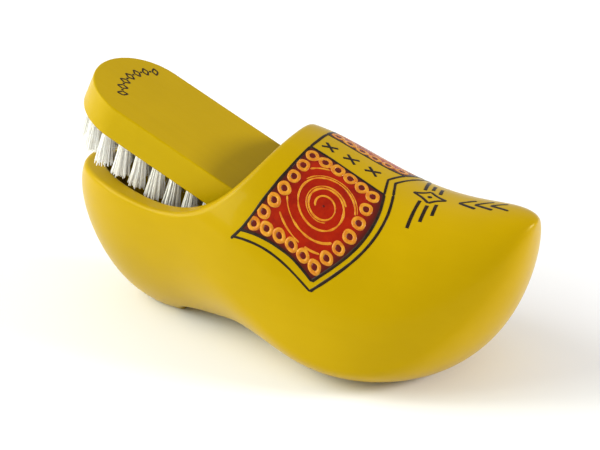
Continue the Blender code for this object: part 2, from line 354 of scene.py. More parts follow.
def make_shell():
    """The carved and hollowed shoe, with every edge rounded over."""
    margin = 3 * NET_CELL
    low = np.array([-margin, -CLOG_WIDTH / 2 - 2 * margin, -margin])
    high = np.array([CLOG_LENGTH + margin, CLOG_WIDTH / 2 + 2 * margin, CLOG_HEIGHT * 1.02 + margin])
    counts = np.ceil((high - low) / NET_CELL).astype(int)
    x, y, z = (low[a] + NET_CELL * np.arange(counts[a]) for a in range(3))
    x, y, z = x[:, None, None], y[None, :, None], z[None, None, :]
    solid = np.maximum(outer_level(x, y, z), -hollow_level(x, y, z))
    solid = np.maximum(np.maximum(solid, rim_level(x, y, z)), ground_level(x, y, z))
    points, quads = surface_net(solid < 0, low, NET_CELL)
    points, normals = relaxed(points, quads, NET_ROUNDS)
    made = mesh_object("clog_shell", points + np.array([HEEL, 0, 0]), quads)
    made.data.normals_split_custom_set_from_vertices(normals)
    hollow = distance(hollow_level, points)[0]
    depth = np.clip((rim_height(points[:, 0]) - points[:, 2]) / PAINT_DEPTH, 0, 1)
    inner = np.clip(1 - np.abs(hollow) / INNER_FACE, 0, 1)
    number_on_points(made, "inside", inner * depth)
    return made


# ---------------------------------------------------------------- paint films on the clog's outside

ARC_SAMPLES = 400
arc_angles = np.linspace(0, math.pi / 2, ARC_SAMPLES)


def on_vamp(x, along):
    """Points and normals of the outside at x, this far round the section from the ridge.

    The near side, at -Y, counts as positive.
    """
    x = np.asarray(x, float)
    along = np.asarray(along, float)
    half, low, widest, high = outer_section(x)
    y = half[:, None] * np.sin(arc_angles) ** (2 / UPPER_POWER)
    z = widest[:, None] + (high - widest)[:, None] * np.cos(arc_angles) ** (2 / UPPER_POWER)
    run = np.concatenate([np.zeros((len(x), 1)), np.cumsum(np.hypot(np.diff(y), np.diff(z)), 1)], 1)
    points = np.empty((len(x), 3))
    for i, far in enumerate(np.abs(along)):
        across = math.copysign(np.interp(far, run[i], y[i]), along[i])
        points[i] = x[i], -across, np.interp(far, run[i], z[i])
    return points, distance(outer_level, points)[1]


def film(name, flat, faces, height, place):
    """Thin closed layer of paint: its top stands this high, its back lies just under the surface."""
    points, normals = place(flat)
    count = len(points)
    top = points + normals * height
    back = points - normals * FILM_ROOT
    faces = [tuple(f) for f in faces]
    edges = {}
    for face in faces:
        for a, b in zip(face, face[1:] + face[:1]):
            edges[(a, b)] = edges.get((a, b), 0) + 1
    sides = [(a, a + count, b + count, b) for a, b in edges if (b, a) not in edges]
    turned = [tuple(i + count for i in face[::-1]) for face in faces]
    return mesh_object(name, np.concatenate([top, back]), faces + turned + sides)


def vamp_place(flat):
    """Points and normals in the frame for flat (x, along) points."""
    points, normals = on_vamp(flat[:, 0], flat[:, 1])
    return points + np.array([HEEL, 0, 0]), normals


def joined(shapes):
    """Flat shapes, each (points, faces), as one."""
    points, faces, start = [], [], 0
    for flat, loops in shapes:
        points.append(flat)
        faces += [tuple(i + start for i in loop) for loop in loops]
        start += len(flat)
    return np.concatenate(points), faces


def facing_out(shape):
    """The shape with its faces wound so that they point out of the clog.

    (x, along) turns the same way as the surface seen from outside on both sides of the ridge.
    """
    flat, faces = shape
    wound = []
    for face in faces:
        p = flat[list(face)]
        area = np.sum(p[:, 0] * np.roll(p[:, 1], -1) - np.roll(p[:, 0], -1) * p[:, 1])
        wound.append(face[::-1] if area > 0 else face)
    return flat, wound


def resampled(points, spacing):
    """Even steps along a polyline."""
    points = np.asarray(points, float)
    run = np.concatenate([[0], np.cumsum(np.linalg.norm(np.diff(points, axis=0), axis=1))])
    at = np.linspace(0, run[-1], max(2, int(round(run[-1] / spacing)) + 1))
    return np.stack([np.interp(at, run, points[:, 0]), np.interp(at, run, points[:, 1])], 1)


def curve_through(*points):
    """Smooth line through a few points."""
    points = np.array(points, float)
    run = np.concatenate([[0], np.cumsum(np.linalg.norm(np.diff(points, axis=0), axis=1))])
    at = np.linspace(0, run[-1], 12 * len(points))
    across, down = (spline(list(zip(run, points[:, axis])))(at) for axis in (0, 1))
    return np.stack([across, down], 1)


def stroke(path, width, spacing=0.5 * MM, wobble=0.0, draws=None, round_ends=True):
    """Brush stroke along a path: a strip whose width may waver, with rounded ends."""
    path = resampled(path, spacing)
    count = len(path)
    direction = np.gradient(path, axis=0)
    direction /= np.linalg.norm(direction, axis=1)[:, None]
    across = np.stack([-direction[:, 1], direction[:, 0]], 1)
    half = np.full(count, width / 2)
    if wobble:
        half *= 1 + wobble * smooth_noise(count, 6, draws)
    if round_ends:
        run = np.minimum(np.arange(count), np.arange(count)[::-1]) * spacing
        half *= np.sqrt(np.clip(1 - (1 - np.clip(run / (width / 2), 0, 1)) ** 2, 0.12, 1))
    lanes = (-1, -0.5, 0, 0.5, 1)
    flat = np.concatenate([path + across * (half * lane)[:, None] for lane in lanes])
    faces = []
    for lane in range(len(lanes) - 1):
        for i in range(count - 1):
            a = lane * count + i
            faces.append((a, a + 1, a + 1 + count, a + count))
    return flat, faces


def smooth_noise(count, knots, draws):
    """Gentle random waver between -1 and 1."""
    steps = max(4, count // knots)
    return np.interp(np.linspace(0, 1, count), np.linspace(0, 1, steps), draws.uniform(-1, 1, steps))


def ring_shape(centre, inner, outer, draws, sides=28, waver=0.07):
    """Ring, or a dot where the inner radius is 0, drawn by hand."""
    angles = 2 * math.pi * np.arange(sides) / sides
    phase = draws.uniform(0, 2 * math.pi, 3)
    hand = sum(np.sin((n + 2) * angles + phase[n]) for n in range(3)) / 3
    circles = [inner, (inner + outer) / 2, outer]
    flat = np.concatenate([centre + np.stack([np.cos(angles), np.sin(angles)], 1)
                           * (radius * (1 + waver * hand))[:, None] for radius in circles])
    faces = []
    for lap in range(2):
        for i in range(sides):
            j = (i + 1) % sides
            faces.append((lap * sides + i, lap * sides + j, (lap + 1) * sides + j, (lap + 1) * sides + i))
    if inner == 0:
        flat = np.concatenate([flat[sides:], centre[None, :]])
        faces = [tuple(i - sides for i in face) for face in faces[sides:]]
        faces += [(i, (i + 1) % sides, 2 * sides) for i in range(sides)]
    return flat, faces


# ---------------------------------------------------------------- the painted decoration

# Each edge is a smooth line through a few (x, along) points in millimetres.
PANEL_SIZE = (34, 44)    # the white panel's rough width and height, for how far a point is from its border
PANEL_LEFT = ((107.0, 5.7), (105.8, 15.9), (99.6, 36.4), (92.9, 50.2))
PANEL_TAIL = ((107.0, 5.7), (105.8, 15.9), (99.6, 36.4), (92.9, 50.2), (89.3, 54.5))
PANEL_BOTTOM = ((92.9, 50.2), (100.4, 50.0), (108.9, 50.5), (115.8, 51.6), (125.5, 55.8))
PANEL_RIGHT = ((140.6, 9.5), (142.7, 18.2), (141.0, 32.1), (133.7, 45.3), (125.5, 55.8))
PANEL_TOP = ((107.0, 5.7), (122.4, 7.0), (140.6, 9.5))
BORDER_BOTTOM = ((90.0, 53.5), (98.1, 53.5), (106.8, 54.1), (114.0, 55.6), (125.4, 59.8))
BORDER_RIGHT = ((125.4, 59.8), (135.7, 46.8), (143.8, 32.6), (145.9, 17.5), (143.7, 7.8))
NOTCH = ((140.6, 9.5), (137.8, 0))
BORDER_NOTCH = ((143.7, 7.8), (140.9, 0))
RING_CORNERS = ((109.9, 9.9), (137.4, 13.2), (125.6, 50.2), (98.2, 46.2))
RING_MIDDLES = ((123.7, 10.2), (136.4, 31.0), (111.8, 46.6), (106.3, 28.1))
RING_STEPS = (5, 6, 5, 6)
SPIRAL_CENTRE = (122.6, 27.4)
SPIRAL_RADII = (3.4, 6.0, 10.2, 14.6, 18.6)
# each pass of the brush: how far out it strays, its first and last turn, its width, how often it runs dry
SPIRAL_PASSES = ((0, 0, 4, 0.75, 0.006), (0.95, 0.75, 1.5, 0.55, 0),
                 (0.9, 2.1, 2.7, 0.4, 0.02), (-0.9, 2.9, 3.7, 0.35, 0.03))
BAND_BOW = 107.3 * MM    # where the line across the ridge crosses it
CROSSES = (112.6, 121.8, 131.1)
DIAMOND_TIPS = ((148.9, 0.6), (157.0, 5.0), (162.6, 0.3), (154.4, -3.9))
BARS = (((153.6, 4.9), (154.9, 20.4)), ((157.4, 6.6), (158.4, 16.0)), ((160.4, 4.6), (161.5, 11.6)),
        ((151.7, -4.0), (148.6, -16.0)), ((154.3, -5.9), (152.9, -11.6)), ((158.2, -3.8), (156.6, -9.9)))
CHEVRONS = (((167.7, 0.0), (175.5, 2.7), (173.1, -4.7)), ((174.1, -0.6), (182.2, 2.1), (179.8, -6.0)),
            ((180.2, -1.4), (188.3, 1.0), (185.6, -5.7)))
LINE = 1.15 * MM
BORDER_LINE = 1.0 * MM
RING_OUTER = 2.85 * MM
RING_INNER = 1.3 * MM
CROSS_ARMS = ((2.6, -1.9), (2.4, 2.0))
CROSS_TILT = 0.15
CROSS_LINE = 1.1 * MM
DIAMOND_LINE = 1.15 * MM
DIAMOND_PINCH = 0.16     # share by which the diamond's sides bow towards its middle
DIAMOND_DOT = 0.9 * MM
BAR_LINE = 1.35 * MM
CHEVRON_LINE = 1.25 * MM
SPIRAL_START = 0.85 * math.pi
SPIRAL_STEPS = 900
SPIRAL_DOT = 0.45 * MM
SHORTEST_STROKE = 12     # in spiral steps
RING_CLEARANCE = 1.03
FILM_ROOT = 0.08 * MM    # how deep the back of a paint film lies
GROUND_HEIGHT = 0.05 * MM
LINE_HEIGHT = 0.09 * MM
RING_HEIGHT = 0.08 * MM


def skew(x):
    """The painted band sits a little to the far side of the ridge near the opening."""
    return 3.4 * MM * np.clip((135 * MM - x) / (30 * MM), 0, 1)


def side_place(side):
    """Place for a drawing made for the near side, here or mirrored to the far side."""
    def place(flat):
        along = flat[:, 1] if side > 0 else -flat[:, 1] - skew(flat[:, 0])
        return vamp_place(np.stack([flat[:, 0], along], 1))
    return place


def for_side(shape, side):
    """Faces wound outwards for the side that the shape is painted on."""
    flat, faces = facing_out(shape)
    return flat, faces if side > 0 else [face[::-1] for face in faces]


def scaled(points):
    """Points given in millimetres, in metres."""
    return [(x * MM, along * MM) for x, along in points]


def panel_ground():
    """The red field: a patch blended between its four edges, with its distance from them."""
    count = 56
    at = np.linspace(0, 1, count)

    def edge(points):
        path = curve_through(*scaled(points))
        run = np.concatenate([[0], np.cumsum(np.linalg.norm(np.diff(path, axis=0), axis=1))])
        return np.stack([np.interp(at * run[-1], run, path[:, a]) for a in (0, 1)], 1)

    top, bottom = edge(PANEL_TOP), edge(PANEL_BOTTOM)
    left, right = edge(PANEL_LEFT), edge(PANEL_RIGHT)
    u, v = at[:, None, None], at[None, :, None]
    flat = (top[:, None] * (1 - v) + bottom[:, None] * v + left[None] * (1 - u) + right[None] * u
            - top[0] * (1 - u) * (1 - v) - top[-1] * u * (1 - v)
            - bottom[0] * (1 - u) * v - bottom[-1] * u * v)
    wide, tall = PANEL_SIZE
    border = np.minimum(np.minimum(u, 1 - u) * wide, np.minimum(v, 1 - v) * tall)
    border = border + np.zeros((count, count, 1))
    faces = []
    for i in range(count - 1):
        for j in range(count - 1):
            a = i * count + j
            faces.append((a, a + count, a + count + 1, a + 1))
    return (flat.reshape(-1, 2), faces), border.reshape(-1)


def ring_centres():
    """Centres of the rings along the inside of the field's edge."""
    centres = []
    for i, steps in enumerate(RING_STEPS):
        corners = RING_CORNERS[i], RING_MIDDLES[i], RING_CORNERS[(i + 1) % 4]
        path = curve_through(*scaled(corners))
        run = np.concatenate([[0], np.cumsum(np.linalg.norm(np.diff(path, axis=0), axis=1))])
        for step in range(steps):
            at = run[-1] * step / steps
            centres.append((np.interp(at, run, path[:, 0]), np.interp(at, run, path[:, 1])))
    return np.array(centres)


def spiral_strokes(centres, draws):
    """The spiral, broken here and there where the brush ran dry, kept clear of the rings."""
    turns = np.linspace(0, len(SPIRAL_RADII) - 1.02, SPIRAL_STEPS)
    radii = spline(list(zip(range(len(SPIRAL_RADII)), SPIRAL_RADII)))(turns) * MM
    angles = SPIRAL_START + 2 * math.pi * turns
    out = np.stack([np.cos(angles), np.sin(angles)], 1)
    shapes = []
    for shift, first, last, wide, gap in SPIRAL_PASSES:
        path = np.array(SPIRAL_CENTRE) * MM + (radii[:, None] + shift * MM) * out
        room = np.linalg.norm(path[:, None] - centres[None], axis=2).min(1)
        shown = (room > RING_OUTER * RING_CLEARANCE) & (turns >= first) & (turns < last)
        dry = np.flatnonzero((draws.uniform(size=len(turns)) < gap) & (turns > 1.2))
        for at in dry:
            shown[at:at + int(draws.integers(4, 11))] = False
        edges = np.flatnonzero(np.diff(np.concatenate([[0], shown.astype(int), [0]])))
        for start, end in zip(edges[::2], edges[1::2]):
            if end - start > SHORTEST_STROKE:
                shapes.append(stroke(path[start:end], wide * MM, 0.4 * MM, 0.45, draws))
    return shapes


def crossed_strokes(x, draws):
    """One painted cross on the band along the ridge."""
    shapes = []
    for dx, along in CROSS_ARMS:
        tilt = draws.uniform(-CROSS_TILT, CROSS_TILT)
        ends = [((x + sign * dx) * MM, (sign * along + tilt) * MM) for sign in (-1, 1)]
        shapes.append(stroke(ends, CROSS_LINE, 0.3 * MM, 0.12, draws, False))
    return shapes


def mixed(nodes, links, factor, a, b):
    """Colour mix node; a and b are colours or sockets."""
    mix = nodes.new("ShaderNodeMix")
    mix.data_type = "RGBA"
    for socket, value in ((mix.inputs[0], factor), (mix.inputs[6], a), (mix.inputs[7], b)):
        if isinstance(value, bpy.types.NodeSocket):
            links.new(value, socket)
        elif isinstance(value, tuple):
            socket.default_value = (*value, 1)
        else:
            socket.default_value = value
    return mix.outputs[2]


def noise(nodes, links, scale, detail=3, roughness=0.5, stretch=(1, 1, 1)):
    """Noise in the piece's own space, optionally drawn out along an axis."""
    where = nodes.new("ShaderNodeTexCoord")
    mapping = nodes.new("ShaderNodeMapping")
    mapping.inputs["Scale"].default_value = stretch
    links.new(where.outputs["Object"], mapping.inputs["Vector"])
    made = nodes.new("ShaderNodeTexNoise")
    made.inputs["Scale"].default_value = scale
    made.inputs["Detail"].default_value = detail
    made.inputs["Roughness"].default_value = roughness
    links.new(mapping.outputs[0], made.inputs["Vector"])
    return made.outputs[0]


def ranged(nodes, links, value, low, high, to_low=0.0, to_high=1.0):
    """Value stretched from low..high to to_low..to_high, clamped."""
    made = nodes.new("ShaderNodeMapRange")
    for name, number in (("From Min", low), ("From Max", high), ("To Min", to_low), ("To Max", to_high)):
        made.inputs[name].default_value = number
    links.new(value, made.inputs["Value"])
    return made.outputs[0]


def bumped(nodes, links, shader, *layers):
    """Bump from (height socket, distance) layers."""
    last = None
    for height, depth in layers:
        bump = nodes.new("ShaderNodeBump")
        bump.inputs["Strength"].default_value = 1
        bump.inputs["Distance"].default_value = depth
        links.new(height, bump.inputs["Height"])
        if last is not None:
            links.new(last, bump.inputs["Normal"])
        last = bump.outputs[0]
    links.new(last, shader.inputs["Normal"])


def material(name, base, roughness, coat=0.0):
    """New Principled material, with its tree, links and shader."""
    made = bpy.data.materials.new(name)
    made.use_nodes = True
    tree = made.node_tree
    shader = tree.nodes["Principled BSDF"]
    shader.inputs["Base Color"].default_value = (*base, 1)
    shader.inputs["Roughness"].default_value = roughness
    shader.inputs["Coat Weight"].default_value = coat
    shader.inputs["Specular IOR Level"].default_value = 0.2
    return made, tree.nodes, tree.links, shader


def attribute(nodes, name):
    """Read a painted value of the mesh in its material."""
    made = nodes.new("ShaderNodeAttribute")
    made.attribute_name = name
    return made.outputs["Fac"]


def clog_lacquer():
    """Yellow lacquer over poplar: faint grain and ripples, and bare wood deep inside the hollow."""
    made, nodes, links, shader = material("clog_lacquer", (0.47, 0.292, 0.0005), 0.3, 0.06)
    shader.inputs["Coat Roughness"].default_value = 0.08
    shader.inputs["Specular IOR Level"].default_value = 0.15
    shader.inputs["Specular Tint"].default_value = (1, 0.82, 0.12, 1)
    cloud = ranged(nodes, links, noise(nodes, links, 16, 3), 0.35, 0.65)
    grain = ranged(nodes, links, noise(nodes, links, 260, 4, 0.55, (0.06, 1, 1)), 0.35, 0.7)
    paint = mixed(nodes, links, cloud, (0.45, 0.288, 0.0003), (0.50, 0.320, 0.0005))
    faint = ranged(nodes, links, grain, 0, 1, 0, 0.04)
    paint = mixed(nodes, links, faint, paint, (0.31, 0.18, 0.0005))
    wood = mixed(nodes, links, grain, (0.34, 0.19, 0.05), (0.46, 0.29, 0.10))
    thin = ranged(nodes, links, attribute(nodes, "inside"), 0.8, 1.0)
    colour = mixed(nodes, links, thin, paint, wood)
    links.new(colour, shader.inputs["Base Color"])
    speck = noise(nodes, links, 900, 2)
    rough = ranged(nodes, links, speck, 0.3, 0.7, 0.29, 0.31)
    dull = nodes.new("ShaderNodeMath")
    dull.operation = "MULTIPLY_ADD"
    links.new(thin, dull.inputs[0])
    dull.inputs[1].default_value = 0.35
    links.new(rough, dull.inputs[2])
    links.new(dull.outputs[0], shader.inputs["Roughness"])
    peel = noise(nodes, links, 420, 1, 0.4)
    ripple = noise(nodes, links, 60, 1, 0.4)
    bumped(nodes, links, shader, (ripple, 0.00005), (peel, 0.0000015))
    return made


def block_lacquer():
    """Satin yellow lacquer on a beech block, with the grain just showing through."""
    made, nodes, links, shader = material("block_lacquer", (0.45, 0.30, 0.0005), 0.34, 0.02)
    shader.inputs["Coat Roughness"].default_value = 0.25
    shader.inputs["Specular Tint"].default_value = (1, 0.8, 0.15, 1)
    cloud = ranged(nodes, links, noise(nodes, links, 22, 3), 0.3, 0.7)
    grain = ranged(nodes, links, noise(nodes, links, 300, 5, 0.6, (0.05, 1, 1)), 0.35, 0.75)
    paint = mixed(nodes, links, cloud, (0.445, 0.293, 0.0003), (0.485, 0.320, 0.0005))
    faint = ranged(nodes, links, grain, 0, 1, 0, 0.07)
    colour = mixed(nodes, links, faint, paint, (0.28, 0.17, 0.0005))
    links.new(colour, shader.inputs["Base Color"])
    speck = noise(nodes, links, 700, 2)
    links.new(ranged(nodes, links, speck, 0.3, 0.7, 0.32, 0.42), shader.inputs["Roughness"])
    peel = noise(nodes, links, 380, 3, 0.5)
    bumped(nodes, links, shader, (peel, 0.00002), (grain, 0.00002))
    return made


def ink(name, base, other, roughness=0.25):
    """Enamel paint whose colour wavers between two shades, with the brush marks' relief."""
    made, nodes, links, shader = material(name, base, roughness, 0.05)
    shader.inputs["Specular IOR Level"].default_value = 0.12
    shader.inputs["Coat Roughness"].default_value = 0.1
    waver = ranged(nodes, links, noise(nodes, links, 420, 3), 0.35, 0.65)
    links.new(mixed(nodes, links, waver, base, other), shader.inputs["Base Color"])
    bumped(nodes, links, shader, (noise(nodes, links, 900, 2), 0.000015))
    return made


def red_ground():
    """Crimson and scarlet brushed into each other, dark at the field's edge."""
    made, nodes, links, shader = material("panel_red", (0.36, 0.005, 0.003), 0.3, 0.1)
    shader.inputs["Coat Roughness"].default_value = 0.1
    broad = ranged(nodes, links, noise(nodes, links, 60, 3), 0.35, 0.65)
    fine = ranged(nodes, links, noise(nodes, links, 330, 4, 0.6), 0.4, 0.7)
    colour = mixed(nodes, links, broad, (0.33, 0.009, 0.001), (0.20, 0.005, 0.003))
    colour = mixed(nodes, links, ranged(nodes, links, fine, 0, 1, 0, 0.45), colour, (0.42, 0.020, 0.002))
    edge = ranged(nodes, links, attribute(nodes, "border"), 1.0, 5.5)
    colour = mixed(nodes, links, edge, (0.07, 0.008, 0.007), colour)
    links.new(colour, shader.inputs["Base Color"])
    shader.inputs["Specular Tint"].default_value = (1, 0.55, 0.3, 1)
    bumped(nodes, links, shader, (noise(nodes, links, 800, 3), 0.00002))
    return made


def make_decoration():
    """Both painted panels, the band with its crosses, and the marks over the toe."""
    black = ink("ink_black", (0.012, 0.008, 0.006), (0.03, 0.016, 0.008), 0.3)
    orange = ink("ring_orange", (0.66, 0.29, 0.02), (0.56, 0.17, 0.012))
    maroon = ink("ring_centre", (0.09, 0.008, 0.006), (0.14, 0.01, 0.008))
    red = red_ground()
    centres = ring_centres()

    def add(name, shape, height, place, finish):
        piece = film(name, *shape, height, place)
        piece.data.materials.append(finish)
        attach(piece, "clog")
        return piece

    for side, word in ((1, "near"), (-1, "far")):
        draws = np.random.default_rng(11 + side)
        place = side_place(side)
        ground, border = panel_ground()
        field = add(f"panel_field_{word}", for_side(ground, side), GROUND_HEIGHT, place, red)
        number_on_points(field, "border", np.concatenate([border, border]))
        rings = []
        for centre in centres:
            outer = RING_OUTER * draws.uniform(0.95, 1.03)
            rings.append(for_side(ring_shape(centre, RING_INNER, outer, draws), side))
        add(f"panel_rings_{word}", joined(rings), RING_HEIGHT, place, orange)
        hearts = joined([for_side(ring_shape(c, 0, RING_INNER * 1.1, draws), side) for c in centres])
        add(f"panel_ring_centres_{word}", hearts, RING_HEIGHT * 0.8, place, maroon)
        swirl = spiral_strokes(centres, draws)
        add(f"panel_spiral_{word}", joined([for_side(s, side) for s in swirl]), RING_HEIGHT, place, orange)
        dot = for_side(ring_shape(np.array(SPIRAL_CENTRE) * MM, 0, SPIRAL_DOT, draws), side)
        add(f"panel_spiral_dot_{word}", dot, RING_HEIGHT, place, maroon)
        lines = [(PANEL_TAIL, LINE), (PANEL_BOTTOM, LINE), (PANEL_RIGHT, LINE), (PANEL_TOP, BORDER_LINE),
                 (BORDER_BOTTOM, BORDER_LINE), (BORDER_RIGHT, BORDER_LINE)]
        shapes = [stroke(curve_through(*scaled(points)), width, 0.5 * MM, 0.12, draws)
                  for points, width in lines]
        add(f"panel_outline_{word}", joined([for_side(s, side) for s in shapes]), LINE_HEIGHT, place, black)

    draws = np.random.default_rng(29)
    near = np.array(PANEL_TOP[0]) * MM
    far = (near[0], -near[1] - float(skew(near[0])))
    band = [stroke([tuple(near), (BAND_BOW, 0), far], LINE, 0.5 * MM, 0.1, draws)]
    for points in (NOTCH, BORDER_NOTCH):
        (x0, a0), (x1, a1) = scaled(points)
        path = [(x0, a0), (x1, a1), (x0, -a0 - float(skew(x0)))]
        band.append(stroke(path, BORDER_LINE, 0.4 * MM, 0.1, draws))
    for x in CROSSES:
        band += crossed_strokes(x, draws)
    add("band_lines", joined([facing_out(s) for s in band]), LINE_HEIGHT, vamp_place, black)

    marks = []
    tips = [np.array(tip) * MM for tip in DIAMOND_TIPS]
    middle = sum(tips) / 4
    for a, b in zip(tips, tips[1:] + tips[:1]):
        bow = (a + b) / 2 + (middle - (a + b) / 2) * DIAMOND_PINCH
        marks.append(stroke(curve_through(a, bow, b), DIAMOND_LINE, 0.3 * MM, 0.1, draws))
    marks.append(ring_shape(middle, 0, DIAMOND_DOT, draws))
    for bar in BARS:
        marks.append(stroke(scaled(bar), BAR_LINE, 0.4 * MM, 0.08, draws, False))
    for vertex, near, far in CHEVRONS:
        for end in (near, far):
            marks.append(stroke(scaled((vertex, end)), CHEVRON_LINE, 0.3 * MM, 0.12, draws))
    add("toe_marks", joined([facing_out(s) for s in marks]), LINE_HEIGHT, vamp_place, black)


# ---------------------------------------------------------------- the brush

pitch_axis = Vector(frame["joints"][0]["axis"])
PITCH = math.atan2(pitch_axis.z, -pitch_axis.x)


def brush_size():
    """Length, thickness, half-width and frame of the block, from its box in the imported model."""
    low, high = (Vector(corner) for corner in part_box("brush_block"))
    c, s = math.cos(PITCH), math.sin(PITCH)
    across, up = high.x - low.x, high.z - low.z
    length = (across * c - up * s) / (c * c - s * s)
    thick = (up * c - across * s) / (c * c - s * s)
    origin = Vector((low.x + thick * s, 0, high.z))
    return length, thick, high.y, Matrix.Translation(origin) @ Matrix.Rotation(PITCH, 4, "Y")


BRUSH_LENGTH, BLOCK_THICKNESS, BRUSH_HALF, BRUSH_FRAME = brush_size()


def tuft_places():
    """Names and (x, y) of all tufts on the block's face: the ring, then the two rows."""
    radius = BRUSH_HALF - TUFT_INSET
    straight = BRUSH_LENGTH - 2 * BRUSH_HALF
    around = 2 * straight + 2 * math.pi * radius
    places = []
    for i in range(RING_TUFTS):
        run = around * i / RING_TUFTS
        side = 1
        if run > around / 2:
            run = around - run
            side = -1
        quarter = math.pi * radius / 2
        if run < quarter:
            angle = run / radius
            x, y = BRUSH_HALF - radius * math.cos(angle), radius * math.sin(angle)
        elif run < quarter + straight:
            x, y = BRUSH_HALF + run - quarter, radius
        else:
            angle = (run - quarter - straight) / radius
            x, y = BRUSH_HALF + straight + radius * math.sin(angle), radius * math.cos(angle)
        places.append((f"tuft_ring_{i + 1:02d}", x, side * y))
    for row, y in (("left", ROW_OFFSET), ("right", -ROW_OFFSET)):
        for i in range(ROW_TUFTS):
            x = ROW_END + (BRUSH_LENGTH - 2 * ROW_END) * i / (ROW_TUFTS - 1)
            places.append((f"tuft_{row}_{i + 1:02d}", x, y))
    return places


def make_block(finish):
    """Round-ended wooden block with eased edges and a drilled hole for each tuft."""
    facets = 56
    bm = bmesh.new()
    corners = []
    for centre, start in ((BRUSH_LENGTH - BRUSH_HALF, -math.pi / 2), (BRUSH_HALF, math.pi / 2)):
        for i in range(facets + 1):
            angle = start + math.pi * i / facets
            x, y = centre + BRUSH_HALF * math.cos(angle), BRUSH_HALF * math.sin(angle)
            corners.append(bm.verts.new((x, y, -BLOCK_THICKNESS)))
    base = bm.faces.new(corners)
    raised = bmesh.ops.extrude_face_region(bm, geom=[base])["geom"]
    moved = [v for v in raised if isinstance(v, bmesh.types.BMVert)]
    bmesh.ops.translate(bm, verts=moved, vec=(0, 0, BLOCK_THICKNESS))
    bmesh.ops.recalc_face_normals(bm, faces=bm.faces)
    arris = [e for e in bm.edges if abs(e.verts[0].co.z - e.verts[1].co.z) < SMALLEST]
    bmesh.ops.bevel(bm, geom=arris, offset=BLOCK_BEVEL, segments=4, profile=0.5, affect="EDGES")
    mesh = bpy.data.meshes.new("brush_block_lacquered")
    bm.to_mesh(mesh)
    bm.free()
    block = bpy.data.objects.new("brush_block_lacquered", mesh)
    bpy.context.scene.collection.objects.link(block)

    drills = bmesh.new()
    lean = Matrix.Rotation(-TUFT_LEAN, 4, "Y")
    for name, x, y in tuft_places():
        bmesh.ops.create_cone(drills, cap_ends=True, segments=20, radius1=TUFT_HOLE_RADIUS,
                              radius2=TUFT_HOLE_RADIUS, depth=2 * TUFT_HOLE_DEPTH,
                              matrix=Matrix.Translation((x, y, -BLOCK_THICKNESS)) @ lean)
    drill_mesh = bpy.data.meshes.new("drills")
    drills.to_mesh(drill_mesh)
    drills.free()
    drill = bpy.data.objects.new("drills", drill_mesh)
    bpy.context.scene.collection.objects.link(drill)
    boolean = block.modifiers.new("holes", "BOOLEAN")
    boolean.operation = "DIFFERENCE"
    boolean.solver = "EXACT"
    boolean.object = drill
    bpy.context.view_layer.update()
    drilled = bpy.data.meshes.new_from_object(block.evaluated_get(bpy.context.evaluated_depsgraph_get()))
    block.modifiers.clear()
    block.data = drilled
    bpy.data.objects.remove(drill)
    drilled.materials.clear()
    drilled.materials.append(finish)
    drilled.shade_smooth()
    drilled.set_sharp_from_angle(angle=math.radians(50))
    even = block.modifiers.new("even_shading", "WEIGHTED_NORMAL")
    even.keep_sharp = True
    even.weight = 100
    block.matrix_world = BRUSH_FRAME
    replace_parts(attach(block, "brush"), "brush_block")
    return block


def make_tuft(name, x, y, finish, draws):
    """One tuft: separate nylon filaments, close together in the hole and flaring to their cut ends."""
    rows, sides = FILAMENT_ROWS, FILAMENT_SIDES
    root = Vector((x, y, -BLOCK_THICKNESS))
    lean = Matrix.Rotation(-TUFT_LEAN, 3, "Y")
    points, faces = [], []
    golden = math.pi * (3 - math.sqrt(5))
    for i in range(FILAMENTS):
        share = math.sqrt((i + 0.5) / FILAMENTS)
        angle = golden * i + draws.uniform(-0.3, 0.3)
        flare = share * TUFT_TIP_RADIUS * draws.uniform(*TUFT_FLARE)
        stray = draws.uniform(-1, 1, 2) * STRAY
        if draws.uniform() < WILD_SHARE:
            flare *= WILD_FLARE
        bend = draws.uniform(-1, 1, 2) * BEND
        long = TUFT_LENGTH * draws.uniform(*CUT_LENGTH) / math.cos(TUFT_LEAN)
        start = len(points)
        for row in range(rows):
            along = row / (rows - 1)
            down = -FILAMENT_ROOT * (1 - along) ** 3 + long * along
            spread = share * (TUFT_ROOT_RADIUS - FILAMENT_RADIUS) * (1 - along) + flare * along
            bow = math.sin(math.pi * along)
            cx = spread * math.cos(angle) + stray[0] * along + bend[0] * bow
            cy = spread * math.sin(angle) + stray[1] * along + bend[1] * bow
            for side in range(sides):
                turn = 2 * math.pi * side / sides
                local = Vector((cx + FILAMENT_RADIUS * math.cos(turn),
                                cy + FILAMENT_RADIUS * math.sin(turn), -down))
                points.append(BRUSH_FRAME @ (root + lean @ local))
        for row in range(rows - 1):
            for side in range(sides):
                a = start + row * sides + side
                b = start + row * sides + (side + 1) % sides
                faces.append((a, a + sides, b + sides, b))
        faces.append(tuple(start + side for side in range(sides)))
        faces.append(tuple(start + (rows - 1) * sides + side for side in range(sides))[::-1])
    piece = mesh_object(name + "_filaments", points, faces)
    piece.data.materials.append(finish)
    piece.data.set_sharp_from_angle(angle=math.radians(60))
    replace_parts(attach(piece, "brush"), name)


